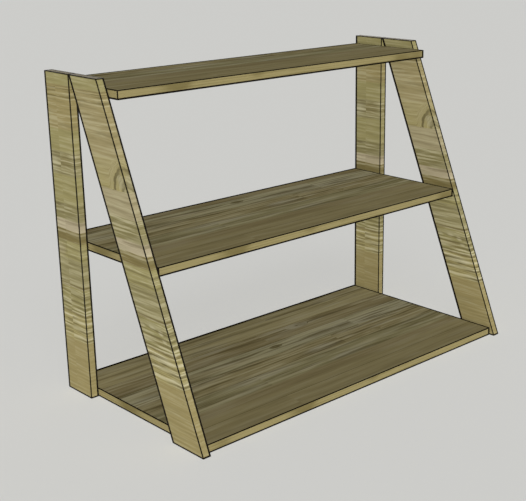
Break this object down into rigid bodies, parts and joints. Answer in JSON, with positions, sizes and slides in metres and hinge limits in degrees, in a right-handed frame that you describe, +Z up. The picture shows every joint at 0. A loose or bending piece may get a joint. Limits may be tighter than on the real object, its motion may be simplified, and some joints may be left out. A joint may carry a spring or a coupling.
{
  "type": "plant stand",
  "caption": "Tiered A-frame plant stand of wooden boards: upright rear legs, leaning front legs, and flat shelves between them that get deeper towards the floor.",
  "frame": {"origin": "on the floor, at the middle of the stand's width and depth", "axes": "+X along the shelves, to the right as seen from the front; +Y to the back; +Z up"},
  "size_m": [0.9144, 0.4686, 0.6858],
  "materials": {
    "leg_wood": "oiled pine",
    "shelf_wood": "stained pine panel",
    "screw_steel": "zinc-plated"
  },
  "bodies": {
    "root": {"left_rear_leg": "leg_wood", "left_front_leg": "leg_wood", "right_rear_leg": "leg_wood", "right_front_leg": "leg_wood", "bottom_shelf": "shelf_wood", "middle_shelf": "shelf_wood", "top_shelf": "shelf_wood", "bottom_shelf_left_rear_screws": "screw_steel", "bottom_shelf_left_front_screws": "screw_steel", "bottom_shelf_right_rear_screws": "screw_steel", "bottom_shelf_right_front_screws": "screw_steel", "middle_shelf_left_rear_screws": "screw_steel", "middle_shelf_left_front_screws": "screw_steel", "middle_shelf_right_rear_screws": "screw_steel", "middle_shelf_right_front_screws": "screw_steel", "top_shelf_left_rear_screws": "screw_steel", "top_shelf_left_front_screws": "screw_steel", "top_shelf_right_rear_screws": "screw_steel", "top_shelf_right_front_screws": "screw_steel"}
  },
  "joints": []
}
